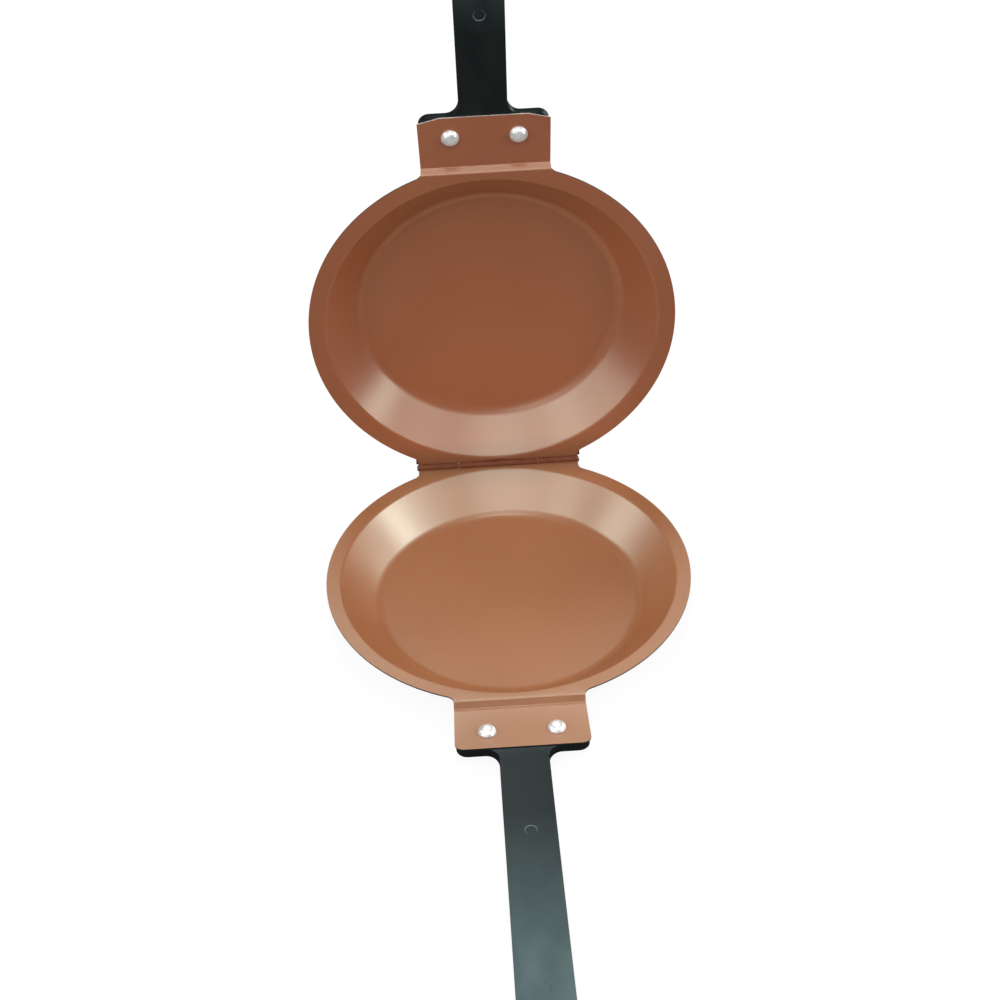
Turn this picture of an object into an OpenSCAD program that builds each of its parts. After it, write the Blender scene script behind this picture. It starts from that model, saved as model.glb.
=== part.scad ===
// Double sided flip pan, standing open: the lower pan lies flat on its base and the upper
// pan leans back on the stop of the hinge. Millimetres, +Z up, +X along the hinge, -Y
// towards the lower handle. The origin is the centre of the lower pan's flat base.

/* [Pans] */
// Diameter of each bowl's mouth, where its rolled edge meets the flat flange
bowl_d = 183; // [160:1:220]
// Width of the flat flange around the lower bowl
lower_flange_w = 7; // [6:0.5:10]
// Width of the flat flange around the upper bowl, which reaches over the lower one
upper_flange_w = 8.5; // [6:0.5:10]
// Depth of each bowl, from the flange's face to the floor
bowl_depth = 18; // [17:0.5:26]
// Width of the sloping wall seen from above, from the flat floor to the flange
wall_w = 24.25; // [18:0.25:34]
// Radius of the bend between the floor and the wall
floor_bend_r = 10; // [4:0.5:14]
// Radius of the rolled edge between the wall and the flange
lip_r = 2.5; // [1.5:0.1:4]
// Thickness of the pressed sheet
sheet_t = 0.8; // [0.6:0.1:1.2]

/* [Hinge] */
// Distance from the edge of a bowl out to the hinge's axis
hinge_offset = 3.5; // [3:0.1:5]
// Length of the rolled knuckles together, along the hinge
hinge_w = 89; // [70:1:100]
// Length of the upper pan's middle knuckle
knuckle_w = 44; // [20:1:50]
// Diameter of the hinge pin
pin_d = 2.3; // [2:0.1:3]
// Angle between the two flanges when the hinge is on its stop
open_angle = 94.5; // [80:0.5:120]
// Height of the stop lips behind the upper flange
stop_h = 7; // [4:0.5:10]
// How much wider than the knuckles the stop lips are, on each side
stop_overhang = 1.1; // [0.5:0.1:2]
// Radius of the corner between the flange and the hinge
hinge_fillet_r = 4; // [3:0.5:5]

/* [Tabs] */
// Width of a tab where it leaves the flange
tab_w = 69; // [60:0.5:76]
// Width of a tab at its free end
tab_end_w = 71; // [60:0.5:78]
// Distance from the edge of the bowl to the tab's free end
tab_l = 35.5; // [32:0.5:42]
// How far the tab is pressed down below the flange, which hides the rivets' heads when closed
tab_drop = 4.4; // [3.6:0.1:6]
// Length of the slope between the flange and the tab
tab_slope = 2.6; // [0.8:0.1:4]
// Inside radius of the tab's two bends
bend_r = 0.6; // [0.4:0.1:1]
// Distance from the edge of the bowl to the first bend
tab_offset = 2.9; // [2.4:0.1:6]
// Radius of the corner between the flange and the tab
tab_fillet_r = 5; // [3:0.5:8]
// Radius of the lower tab's corners
lower_corner_r = 4.5; // [2:0.5:8]
// Length of the upper tab's cut corners, across the tab
upper_cut_w = 12; // [6:0.5:16]
// Depth of the upper tab's cut corners, along the tab
upper_cut_l = 3; // [1:0.5:5]

/* [Handles] */
// Length of a handle past the tab's free end
handle_l = 193; // [140:1:230]
// How much narrower the crosspiece under the tab is than the tab's free end, on each side
base_side = 0.75; // [0.5:0.25:3]
// Thickness of the crosspiece
base_t = 5; // [4:0.5:6]
// Radius of the crosspiece's corners
base_corner_r = 6; // [3:0.5:10]
// Radius of the corners between the crosspiece and the stem
base_fillet_r = 7; // [4:0.5:9]
// Width of the stem at its narrow start
stem_start_w = 25.8; // [22:0.2:30]
// Width of the stem at its widest, near the end
stem_end_w = 30; // [24:0.5:36]
// Thickness of the stem at its thickest
stem_t = 11.5; // [9:0.5:12]
// Radius of the stem's long edges on the outside
stem_round_r = 5; // [3:0.5:6]
// Radius of the stem's long edges on the inside
stem_edge_r = 1; // [0.5:0.1:1.5]
// Diameter of the hanging hole
hang_hole_d = 8; // [6:0.5:10]
// Distance from the hanging hole's centre to the handle's end
hang_hole_inset = 13; // [11:0.5:20]
// Diameter of the round marks that the mould's pins leave on the inner face
mark_d = 6.6; // [5:0.2:9]
// Depth of those marks
mark_depth = 0.3; // [0.1:0.05:0.5]
// Distance from the tab's free end to the first mark
mark_start = 60; // [40:1:70]
// Distance between the two marks
mark_pitch = 108; // [60:1:112]

/* [Rivets] */
// Distance between a handle's two rivets
rivet_pitch = 36.4; // [32:0.2:44]
// Distance from the tab's free end to the rivets
rivet_inset = 12.1; // [10:0.1:14]
// Diameter of a rivet's shank
rivet_d = 4; // [3:0.2:5]
// Diameter of a rivet's domed head
rivet_head_d = 9.6; // [8:0.2:12]
// Height of the straight edge under the head's dome
rivet_edge_h = 0.7; // [0.3:0.1:1]
// Height of the dome
rivet_dome_h = 3; // [1.2:0.1:3.3]
// Diameter of the rivet's spread tail
rivet_tail_d = 6.4; // [5.4:0.2:7]
// Height of the spread tail
rivet_tail_h = 1.3; // [0.8:0.1:2]
// Outside diameter of the washer under the tail
washer_d = 9; // [8:0.2:11]
// Thickness of the washer
washer_t = 0.8; // [0.5:0.1:1.2]

/* [Fits] */
// Gap between the two flanges when the pans are closed
face_gap = 0.4; // [0.3:0.05:1]
// Gap around the pin in the upper pan's knuckle, on the radius
pin_fit = 0.05; // [0.02:0.01:0.1]
// Gap between the ends of neighbouring knuckles, and around a knuckle's outside
knuckle_gap = 0.3; // [0.3:0.05:0.8]
// Gap left between the upper pan and the stop lips at rest, which paint takes up
stop_gap = 0.05; // [0.02:0.01:0.1]
// Gap around a rivet's shank, on the radius
rivet_fit = 0.1; // [0.05:0.05:0.2]
// Gap between the crosspiece and the tab's bends
base_gap = 1.2; // [0.8:0.1:2]

/* [Hidden] */
$fn = 96;
EPS = 0.01;
// How far shapes that become one solid reach into each other
JOIN = 1;

copper = [0.66, 0.42, 0.31];
handle_black = [0.13, 0.14, 0.14];
bare_metal = [0.80, 0.80, 0.80];

// Heights above the base
flange_z = bowl_depth + sheet_t;
axis_z = flange_z + face_gap / 2;
tab_z = flange_z - tab_drop;
seat_z = tab_z - sheet_t;

// The bowl's section: the floor's bend and the lip's arc with a straight wall that touches both
lip_start_r = bowl_d / 2;
floor_r = lip_start_r - wall_w;
bend_sum = floor_bend_r + lip_r;
wall_angle = atan2(bowl_depth - bend_sum, wall_w)
    + asin(bend_sum / norm([wall_w, bowl_depth - bend_sum]));
lower_pan_r = lip_start_r + lower_flange_w;
upper_pan_r = lip_start_r + upper_flange_w;
// Steps of the curved sections and corners
floor_bend_steps = 10;
lip_steps = 8;
corner_steps = 8;
bend_steps = 6;

// The hinge
hinge_reach = lip_start_r + hinge_offset;
pin_r = pin_d / 2;
barrel_r = pin_r + pin_fit + sheet_t;
knuckle_reach = barrel_r + knuckle_gap;
// The pin's spread heads: their thickness, and how far they stay inside the barrels' outside
pin_head_t = 0.8;
pin_head_step = 0.2;
pin_head_r = barrel_r - pin_head_step;
// The stop lips start this far past the knuckles' inner ends, and stay this far clear of the bowl
stop_inset = 0.3;
stop_clear = 0.5;
stop_start_x = sqrt(pow(lip_start_r, 2) - pow(hinge_reach - stop_h - stop_clear, 2));

// The tabs and the handles, as distances from the bowl's centre towards the handle
slope_y = lip_start_r + tab_offset;
tab_end_y = lip_start_r + tab_l;
rivet_y = tab_end_y - rivet_inset;
base_start_y = slope_y + tab_slope + sheet_t + bend_r + base_gap;
base_w = tab_end_w - 2 * base_side;
handle_end_y = tab_end_y + handle_l;
hang_hole_y = handle_end_y - hang_hole_inset;
mark_y = tab_end_y + mark_start;
shank_r = rivet_d / 2;
hole_r = shank_r + rivet_fit;
// The tab's strip starts this far before its slope, inside the flange
tab_start_y = slope_y - 4;

// The stem's shape: where it starts under the tab, how long it takes to grow thick,
// how late it widens (1 is evenly) and how long its round end is
stem_start_y = tab_end_y - 6;
stem_start_t = base_t - 0.5;
stem_growth_l = 45;
stem_widening = 1.2;
stem_round_l = 13.5;
// Shares of the stem's width and thickness that are left at its very end
tip_w = 0.25;
tip_t = 0.55;
// The least flat left between the stem's rounded edges
stem_flat = 0.5;
// Steps of the stem's surface: around its edges, along it, and around its end
edge_steps = 3;
round_steps = 7;
stem_steps = 16;
end_steps = 8;

// Points of an arc around c, from angle a to angle b, in n steps
function arc(c, r, a, b, n) =
    [for (i = [0:n]) c + r * [cos(a + (b - a) * i / n), sin(a + (b - a) * i / n)]];

// Centre of the circle that rounds the inner corner between the pan's edge and a side at x
function corner_centre(pan_r, x, r) = [x + r, sqrt(pow(pan_r + r, 2) - pow(x + r, 2))];

// ---- the pans ----

// Half section of a bowl with its lip, from the axis to just inside the flange
module bowl_section() {
    floor_c = [floor_r, sheet_t + floor_bend_r];
    lip_c = [lip_start_r, flange_z - lip_r];
    overlap_r = lip_start_r + JOIN;
    polygon(concat(
        [[0, 0], [0, sheet_t]],
        arc(floor_c, floor_bend_r, -90, -90 + wall_angle, floor_bend_steps),
        arc(lip_c, lip_r, 90 + wall_angle, 90, lip_steps),
        [[overlap_r, flange_z], [overlap_r, flange_z - sheet_t]],
        arc(lip_c, lip_r - sheet_t, 90, 90 + wall_angle, lip_steps),
        arc(floor_c, floor_bend_r + sheet_t, -90 + wall_angle, -90, floor_bend_steps)
    ));
}

// Fills the inner corner between the round edge and a straight side at x, towards +Y
module edge_corner(pan_r, x, r) {
    c = corner_centre(pan_r, x, r);
    edge_angle = atan2(c[1], c[0]);
    // A little past the place where the corner meets the edge, so that the two join
    past = 4;
    polygon(concat(
        [[x - r, c[1] - 2 * r], [x - r, c[1]]],
        arc(c, r, 180, 180 + edge_angle + past, corner_steps)
    ));
}

// Flat flange outline, without the tab: a disc cut along the hinge, with the hinge's corners
module flange_outline(pan_r) {
    intersection() {
        union() {
            circle(r = pan_r);
            for (side = [0, 1]) mirror([side, 0]) edge_corner(pan_r, hinge_w / 2, hinge_fillet_r);
            translate([-hinge_w / 2, 0]) square([hinge_w, hinge_reach]);
        }
        translate([-pan_r, -pan_r]) square([2 * pan_r, pan_r + hinge_reach - pin_r - pin_fit]);
    }
}

// Side view of the flange, slope and tab as a bent strip: x is the distance from the bowl
module tab_profile() {
    slope_angle = atan2(tab_drop, tab_slope);
    r_in = bend_r;
    r_out = bend_r + sheet_t;
    set_back = (r_in + sheet_t / 2) * tan(slope_angle / 2);
    top_c = [slope_y - set_back + sheet_t / 2, flange_z - r_out];
    low_c = [slope_y + tab_slope + set_back - sheet_t / 2, tab_z + r_in];
    polygon(concat(
        [[tab_start_y - JOIN, flange_z]],
        arc(top_c, r_out, 90, 90 - slope_angle, bend_steps),
        arc(low_c, r_in, 270 - slope_angle, 270, bend_steps),
        [[tab_end_y + JOIN, tab_z], [tab_end_y + JOIN, seat_z]],
        arc(low_c, r_out, 270, 270 - slope_angle, bend_steps),
        arc(top_c, r_in, 90 - slope_angle, 90, bend_steps),
        [[tab_start_y - JOIN, flange_z - sheet_t]]
    ));
}

// Plan of the tab towards +Y, with its inner corners; the end's corners are points from the axis
module tab_outline(pan_r, end_points) {
    for (side = [0, 1]) mirror([side, 0]) {
        edge_corner(pan_r, tab_w / 2, tab_fillet_r);
        polygon(concat([[0, floor_r], [tab_w / 2, floor_r], [tab_w / 2, slope_y]],
            end_points, [[0, tab_end_y]]));
    }
}

// The lower tab's rounded corner and the upper tab's cut one
lower_end = arc([tab_end_w / 2 - lower_corner_r, tab_end_y - lower_corner_r],
    lower_corner_r, 0, 90, corner_steps);
upper_end = [[tab_end_w / 2, tab_end_y - upper_cut_l], [tab_end_w / 2 - upper_cut_w, tab_end_y]];

// A pan's sheet, without its knuckles, in the lower pan's place
module pan_sheet(pan_r, end_points) {
    rotate_extrude() bowl_section();
    translate([0, 0, flange_z - sheet_t]) linear_extrude(sheet_t) difference() {
        intersection() {
            flange_outline(pan_r);
            translate([-pan_r, -slope_y + bend_r + sheet_t]) square(2 * pan_r);
        }
        circle(r = lip_start_r);
    }
    rotate([0, 0, 180]) difference() {
        intersection() {
            rotate([90, 0, 90]) linear_extrude(2 * pan_r, center = true) tab_profile();
            linear_extrude(2 * flange_z) intersection() {
                union() {
                    circle(r = pan_r);
                    tab_outline(pan_r, end_points);
                }
                translate([-pan_r, tab_start_y]) square([2 * pan_r, 2 * tab_l]);
            }
        }
        cylinder(r = lip_start_r, h = 2 * flange_z);
        rivet_places(1) cylinder(r = hole_r, h = 2 * flange_z);
        rivet_places(-1) cylinder(r = hole_r, h = 2 * flange_z);
    }
}

// A knuckle's barrel between two places along the hinge
module barrel(from, to) {
    translate([from, hinge_reach, axis_z]) rotate([0, 90, 0]) cylinder(r = barrel_r, h = to - from);
}

// A hole or a pin's space along the whole hinge
module along_hinge(r, length) {
    translate([-length / 2, hinge_reach, axis_z]) rotate([0, 90, 0]) cylinder(r = r, h = length);
}

// Space that a pan leaves free around the other pan's knuckle
module knuckle_space(from, to) {
    translate([from, hinge_reach - knuckle_reach, flange_z - sheet_t - EPS])
        cube([to - from, 2 * knuckle_reach, sheet_t + 2 * EPS]);
}

// A stop lip, leaning back with the open pan: it is as high as the bowl's edge lets it be, and its
// wing stands past the barrel, over the pin's head
module stop_lip(from, to, wing) {
    wing_z = pin_head_r + knuckle_gap;
    low_h = hinge_reach - stop_clear - sqrt(pow(lip_start_r, 2) - pow(from, 2));
    inner_end = stop_start_x > from ? [[stop_start_x, stop_h], [from, low_h]] : [[from, stop_h]];
    translate([0, hinge_reach, axis_z]) rotate([90 - open_angle, 0, 0])
        translate([0, face_gap / 2 + 2 * sheet_t + stop_gap, 0]) rotate([90, 0, 0])
            linear_extrude(sheet_t) polygon(concat(
                [[from, 0], [to, 0], [to, wing_z], [to + wing, wing_z], [to + wing, stop_h]],
                inner_end
            ));
}

module lower_pan() {
    inner = knuckle_w / 2 + knuckle_gap;
    outer = hinge_w / 2;
    color(copper) difference() {
        union() {
            difference() {
                pan_sheet(lower_pan_r, lower_end);
                knuckle_space(-inner, inner);
            }
            for (side = [0, 1]) mirror([side, 0, 0]) {
                barrel(inner, outer);
                stop_lip(inner + stop_inset, outer, stop_overhang);
            }
        }
        along_hinge(pin_r, 2 * hinge_w);
    }
}

module upper_pan() {
    inner = knuckle_w / 2;
    color(copper) upper_place() difference() {
        union() {
            difference() {
                pan_sheet(upper_pan_r, upper_end);
                for (side = [0, 1]) mirror([side, 0, 0]) knuckle_space(inner, hinge_w);
            }
            barrel(-inner, inner);
        }
        along_hinge(pin_r + pin_fit, 2 * hinge_w);
    }
}

// Puts what is drawn in the lower pan's place onto the open upper pan
module upper_place() {
    translate([0, hinge_reach, axis_z]) rotate([-open_angle, 0, 0]) mirror([0, 0, 1])
        translate([0, -hinge_reach, -axis_z]) children();
}

// ---- the hinge pin ----

module hinge_pin() {
    color(bare_metal) {
        along_hinge(pin_r, hinge_w + 2 * pin_head_t);
        for (side = [0, 1]) mirror([side, 0, 0])
            translate([hinge_w / 2, hinge_reach, axis_z]) rotate([0, 90, 0])
                cylinder(r1 = pin_head_r, r2 = pin_r, h = pin_head_t);
    }
}

// ---- the handles, drawn towards +Y and turned to the pan's front ----

module base_outline() {
    x = base_w / 2 - base_corner_r;
    stem_x = stem_start_w / 2;
    for (side = [0, 1]) mirror([side, 0]) polygon(concat(
        [[0, base_start_y]],
        arc([x, base_start_y + base_corner_r], base_corner_r, -90, 0, corner_steps),
        arc([x, tab_end_y - base_corner_r], base_corner_r, 0, 90, corner_steps),
        arc([stem_x + base_fillet_r, tab_end_y + base_fillet_r], base_fillet_r, 270, 180, corner_steps),
        [[0, tab_end_y + base_fillet_r]]
    ));
}

// How far along the stem a place y is, from 0 at the crosspiece to 1 at the end
function along(y) = (y - tab_end_y) / (handle_end_y - tab_end_y);

// The stem's round end: 1 along its whole length, then down to 0 like a quarter circle
function end_share(y) =
    sqrt(max(0, 1 - pow(max(0, y - handle_end_y + stem_round_l) / stem_round_l, 2)));

// Width and thickness of the stem at y
function stem_w(y) =
    (stem_start_w + (stem_end_w - stem_start_w) * pow(max(0, along(y)), stem_widening))
    * (tip_w + (1 - tip_w) * end_share(y));
function stem_growth(y) = sin(90 * min(1, max(0, (y - stem_start_y) / stem_growth_l)));
function stem_deep(y) = (stem_start_t + (stem_t - stem_start_t) * stem_growth(y))
    * (tip_t + (1 - tip_t) * end_share(y));

// One cross section of the stem at y: flat inside, rounded outside
function stem_ring(y) =
    let (w = stem_w(y) / 2, d = stem_deep(y), e = min(stem_edge_r, w - stem_flat),
        r = min(stem_round_r, d - e - stem_flat, w - stem_flat))
    [for (p = concat(
        arc([w - e, -e], e, 90, 0, edge_steps),
        arc([w - r, r - d], r, 0, -90, round_steps),
        arc([r - w, r - d], r, 270, 180, round_steps),
        arc([e - w, -e], e, 180, 90, edge_steps)
    )) [p[0], y, seat_z + p[1]]];

// Places along the stem: even steps, then closer ones around the end
stem_places = concat(
    [for (i = [0:stem_steps])
        stem_start_y + (handle_end_y - stem_round_l - stem_start_y) * i / stem_steps],
    [for (i = [1:end_steps]) handle_end_y - stem_round_l * (1 - sin(90 * i / end_steps))]
);

// A closed solid through rings of the same number of points
module loft(rings) {
    n = len(rings[0]);
    m = len(rings);
    points = [for (ring = rings) for (p = ring) p];
    sides = [for (i = [0:m - 2]) for (j = [0:n - 1]) each [
        [i * n + j, (i + 1) * n + j, i * n + (j + 1) % n],
        [i * n + (j + 1) % n, (i + 1) * n + j, (i + 1) * n + (j + 1) % n]
    ]];
    first = [for (j = [0:n - 1]) j];
    last = [for (j = [n - 1:-1:0]) (m - 1) * n + j];
    polyhedron(points, concat(sides, [first], [last]));
}

module handle() {
    color(handle_black) rotate([0, 0, 180]) difference() {
        union() {
            translate([0, 0, seat_z - base_t]) linear_extrude(base_t) base_outline();
            loft([for (y = stem_places) stem_ring(y)]);
        }
        rivet_places(1) cylinder(r = hole_r, h = 2 * flange_z);
        rivet_places(-1) cylinder(r = hole_r, h = 2 * flange_z);
        translate([0, hang_hole_y, -flange_z]) cylinder(d = hang_hole_d, h = 3 * flange_z);
        for (i = [0, 1])
            translate([0, mark_y + i * mark_pitch, seat_z - mark_depth])
                cylinder(d = mark_d, h = mark_depth + JOIN);
    }
}

module lower_handle() { handle(); }
module upper_handle() { upper_place() handle(); }

// ---- rivets and washers ----

// The place of a handle's rivet, left (-1) or right (1), towards +Y
module rivet_places(side) {
    translate([side * rivet_pitch / 2, rivet_y, 0]) children();
}

// A domed rivet from the tab's face down to its spread tail
module rivet() {
    head_r = rivet_head_d / 2;
    dome_r = (head_r * head_r + rivet_dome_h * rivet_dome_h) / (2 * rivet_dome_h);
    dome_angle = asin(head_r / dome_r);
    dome_z = tab_z + rivet_edge_h + rivet_dome_h - dome_r;
    tail_r = rivet_tail_d / 2;
    tail_z = seat_z - base_t - washer_t;
    color(bare_metal) rotate_extrude() polygon(concat(
        arc([0, dome_z], dome_r, 90, 90 - dome_angle, corner_steps),
        [[head_r, tab_z], [shank_r, tab_z], [shank_r, tail_z], [tail_r, tail_z]],
        [[tail_r - rivet_tail_h / 2, tail_z - rivet_tail_h], [0, tail_z - rivet_tail_h]]
    ));
}

module washer() {
    color(bare_metal) translate([0, 0, seat_z - base_t - washer_t]) difference() {
        cylinder(d = washer_d, h = washer_t);
        translate([0, 0, -JOIN]) cylinder(r = hole_r, h = washer_t + 2 * JOIN);
    }
}

module on_tab(side) { rotate([0, 0, 180]) rivet_places(-side) children(); }

module lower_rivet_left() { on_tab(-1) rivet(); }
module lower_rivet_right() { on_tab(1) rivet(); }
module upper_rivet_left() { upper_place() on_tab(-1) rivet(); }
module upper_rivet_right() { upper_place() on_tab(1) rivet(); }
module lower_washer_left() { on_tab(-1) washer(); }
module lower_washer_right() { on_tab(1) washer(); }
module upper_washer_left() { upper_place() on_tab(-1) washer(); }
module upper_washer_right() { upper_place() on_tab(1) washer(); }

lower_pan();
upper_pan();
hinge_pin();
lower_handle();
upper_handle();
lower_rivet_left();
lower_rivet_right();
upper_rivet_left();
upper_rivet_right();
lower_washer_left();
lower_washer_right();
upper_washer_left();
upper_washer_right();
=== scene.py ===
import math

import bmesh
import bpy
from mathutils import Matrix, Vector


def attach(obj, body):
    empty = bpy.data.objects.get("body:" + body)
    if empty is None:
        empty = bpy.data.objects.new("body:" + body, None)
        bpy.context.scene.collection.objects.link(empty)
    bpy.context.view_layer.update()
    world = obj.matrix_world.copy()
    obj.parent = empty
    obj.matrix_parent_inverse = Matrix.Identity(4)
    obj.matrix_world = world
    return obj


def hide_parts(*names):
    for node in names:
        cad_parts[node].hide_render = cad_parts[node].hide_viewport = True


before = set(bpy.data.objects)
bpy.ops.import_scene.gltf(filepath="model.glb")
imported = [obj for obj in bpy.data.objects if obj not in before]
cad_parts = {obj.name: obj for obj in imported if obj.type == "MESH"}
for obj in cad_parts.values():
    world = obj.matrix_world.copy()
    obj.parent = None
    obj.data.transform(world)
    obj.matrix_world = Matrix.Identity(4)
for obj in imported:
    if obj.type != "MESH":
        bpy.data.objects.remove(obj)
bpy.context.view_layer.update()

# ---- sizes in millimetres; MM turns them into Blender's metres ----

# Most are the part's own. Finer here are the broken edges, the knuckles' gap, the way the stem grows and
# the marks of use.
MM = 0.001
WELD = 0.002 * MM

LIP_START_R = 91.5
LOWER_PAN_R = LIP_START_R + 7
UPPER_PAN_R = LIP_START_R + 8.5
WALL_W = 24.25
FLOOR_R = LIP_START_R - WALL_W
FLOOR_BEND_R = 10
BOWL_DEPTH = 18
LIP_R = 2.5
SHEET_T = 0.8
FLANGE_Z = BOWL_DEPTH + SHEET_T
FACE_GAP = 0.4

HINGE_Y = LIP_START_R + 3.5
AXIS_Z = FLANGE_Z + FACE_GAP / 2
OPEN_ANGLE = 94.5
HINGE_W = 89
KNUCKLE_W = 44
KNUCKLE_GAP = 0.15
HINGE_FILLET_R = 4
PIN_R = 1.15
CURL_R = PIN_R + 0.05
BARREL_R = CURL_R + SHEET_T
PIN_HEAD_T = 0.8
PIN_HEAD_R = BARREL_R - 0.2
PIN_HEAD_EDGE = 0.1
# The knuckles' sheet curls to this angle round the pin
CURL_END = 360 + 176

STOP_H = 7
STOP_OVERHANG = 1.1
STOP_GAP = 0.05
STOP_INSET = 0.3
STOP_CLEAR = 0.5
STOP_EDGE = 0.2

TAB_W = 69
TAB_END_W = 71
TAB_END_Y = LIP_START_R + 35.5
TAB_DROP = 4.4
TAB_SLOPE = 2.6
SLOPE_Y = LIP_START_R + 2.9
BEND_R = 0.6
TAB_FILLET_R = 5
LOWER_CORNER_R = 4.5
UPPER_CUT_W = 12
UPPER_CUT_L = 3
TAB_Z = FLANGE_Z - TAB_DROP
SEAT_Z = TAB_Z - SHEET_T

BASE_W = TAB_END_W - 1.5
BASE_T = 5
BASE_START_Y = SLOPE_Y + TAB_SLOPE + SHEET_T + BEND_R + 1.2
BASE_CORNER_R = 6
BASE_FILLET_R = 7
STEM_START_W = 25.8
STEM_END_W = 30
STEM_T = 11.5
STEM_ROUND_R = 5
STEM_GROWTH_L = 39
STEM_WIDENING = 1.2
HANDLE_END_Y = TAB_END_Y + 193
END_ROUND_L = 13.5
# Shares of the stem's width and thickness that are left at its very end
TIP_W = 0.25
TIP_T = 0.55
HOLE_Y = HANDLE_END_Y - 13
HOLE_R = 4
HOLE_EDGE = 0.7
HOLE_BACK_EDGE = 0.9
MARK_R = 3.3
MARK_DEPTH = 0.3
MARK_SLOPE_W = 0.35
MARK_YS = (TAB_END_Y + 60, TAB_END_Y + 168)
# Shares of STEM_ROUND_R by which the handle's edges are rounded: on the inside, on the crosspiece's back, and
# on top of that along the stem's back
INSIDE_ROUND = 0.12
BASE_ROUND = 0.14
STEM_ROUND = 0.72
# The stem's edges grow rounder from this far before the tab's end, over this length
ROUND_START = 3
ROUND_GROWTH_L = 30

RIVET_X = 18.2
RIVET_Y = TAB_END_Y - 12.1
SHANK_R = 2
RIVET_HEAD_R = 4.8
RIVET_EDGE_H = 0.7
RIVET_DOME_H = 3
RIVET_TAIL_R = 3.2
RIVET_TAIL_H = 1.3
RIVET_HOLE_R = SHANK_R + 0.1
RIVET_EDGE_ROUND = 0.2
# How the edge of a rivet's tail is rounded: inwards and below the washer
TAIL_SHAPE = ((0, 0), (0, 0.3), (0.5, 0.9))
# The dimple that the setting tool leaves in a rivet's tail
DIMPLE_R = 1.2
DIMPLE_DEPTH = 0.6
# A dent is pressed from a spot of this radius
DENT_GRIP = 0.3
WASHER_R = 4.5
WASHER_T = 0.8
WASHER_EDGE = 0.12

# How far the spun bowl reaches into the flat flange, and a cutting tool past what it cuts
FLANGE_JOIN = 0.5
CUT_PAST = 2
RIVET_BORE_L = 30

# Steps of the round shapes on the pans
BOWL_STEPS = 192
FLOOR_BEND_STEPS = 16
LIP_STEPS = 12
FLANGE_STEPS = 72
PAN_CORNER_STEPS = 6
BEND_STEPS = 6
CURL_STEPS = 32
# Steps of the round shapes on the handles, and places along the stem
CORNER_STEPS = 8
FILLET_STEPS = 10
STEM_STEPS = 34
END_STEPS = 8

# Puts what is drawn in the lower pan's place onto the open upper pan
UPPER = (
    Matrix.Translation((0, HINGE_Y * MM, AXIS_Z * MM))
    @ Matrix.Rotation(math.radians(-OPEN_ANGLE), 4, "X")
    @ Matrix.Diagonal((1, 1, -1, 1))
    @ Matrix.Translation((0, -HINGE_Y * MM, -AXIS_Z * MM))
)


def arc(centre, radius, start, end, steps):
    """Points of an arc, angles in degrees."""
    turns = [math.radians(start + (end - start) * i / steps) for i in range(steps + 1)]
    return [(centre[0] + radius * math.cos(a), centre[1] + radius * math.sin(a)) for a in turns]


# ---- modelling by hand ----


def choose(*pieces):
    """Selects only these pieces; the first is the active one."""
    bpy.ops.object.select_all(action="DESELECT")
    for piece in pieces:
        piece.select_set(True)
    bpy.context.view_layer.objects.active = pieces[0]


def edit(piece):
    choose(piece)
    bpy.ops.object.mode_set(mode="EDIT")


def done():
    bpy.ops.object.mode_set(mode="OBJECT")


def new_point(name=None):
    """One point at the origin, in a new piece or in the one that is being edited."""
    if name:
        bpy.ops.object.select_all(action="DESELECT")
    else:
        bpy.ops.mesh.select_all(action="DESELECT")
    bpy.ops.mesh.primitive_plane_add(size=MM)
    piece = bpy.context.object
    if name:
        piece.name = name
        piece.data.name = name
        bpy.ops.object.mode_set(mode="EDIT")
    bpy.ops.mesh.select_mode(type="VERT")
    bpy.ops.mesh.merge(type="CENTER")
    return piece


def draw(places):
    """Takes the selected point to the first place and extrudes it through the others."""
    bpy.ops.transform.translate(value=Vector(places[0]) * MM)
    for last, place in zip(places, places[1:]):
        step = (Vector(place) - Vector(last)) * MM
        bpy.ops.mesh.extrude_vertices_move(TRANSFORM_OT_translate={"value": step})


def extrude(x, y, z):
    """Extrudes what is selected by this much, in millimetres."""
    bpy.ops.mesh.extrude_region_move(TRANSFORM_OT_translate={"value": (x * MM, y * MM, z * MM)})


def pick(piece, test, kind="VERT"):
    """Selects the points, edges or faces of which every point passes the test, in millimetres."""
    bpy.ops.mesh.select_mode(type=kind)
    mesh = bmesh.from_edit_mesh(piece.data)
    for part in (*mesh.verts, *mesh.edges, *mesh.faces):
        part.select = False
    good = {v for v in mesh.verts if test(*(v.co / MM))}
    if kind == "VERT":
        for v in good:
            v.select = True
    else:
        for part in mesh.edges if kind == "EDGE" else mesh.faces:
            if good.issuperset(part.verts):
                part.select_set(True)
    mesh.select_flush_mode()
    bmesh.update_edit_mesh(piece.data)


def weld():
    bpy.ops.mesh.select_all(action="SELECT")
    bpy.ops.mesh.remove_doubles(threshold=WELD)


def outwards():
    weld()
    bpy.ops.mesh.normals_make_consistent(inside=False)


def spin(section, name, steps=64, centre=(0, 0), axis="Z"):
    """Turns a section of (radius, height) points round an upright or a lengthwise axis."""
    piece = new_point(name)
    if axis == "Z":
        draw([(centre[0] + r, centre[1], h) for r, h in section])
        line, middle = (0, 0, 1), Vector((*centre, 0)) * MM
    else:
        draw([(h, centre[0], centre[1] + r) for r, h in section])
        line, middle = (1, 0, 0), Vector((0, *centre)) * MM
    bpy.ops.mesh.select_all(action="SELECT")
    bpy.ops.mesh.spin(steps=steps, angle=2 * math.pi, center=middle, axis=line)
    outwards()
    return piece


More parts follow.
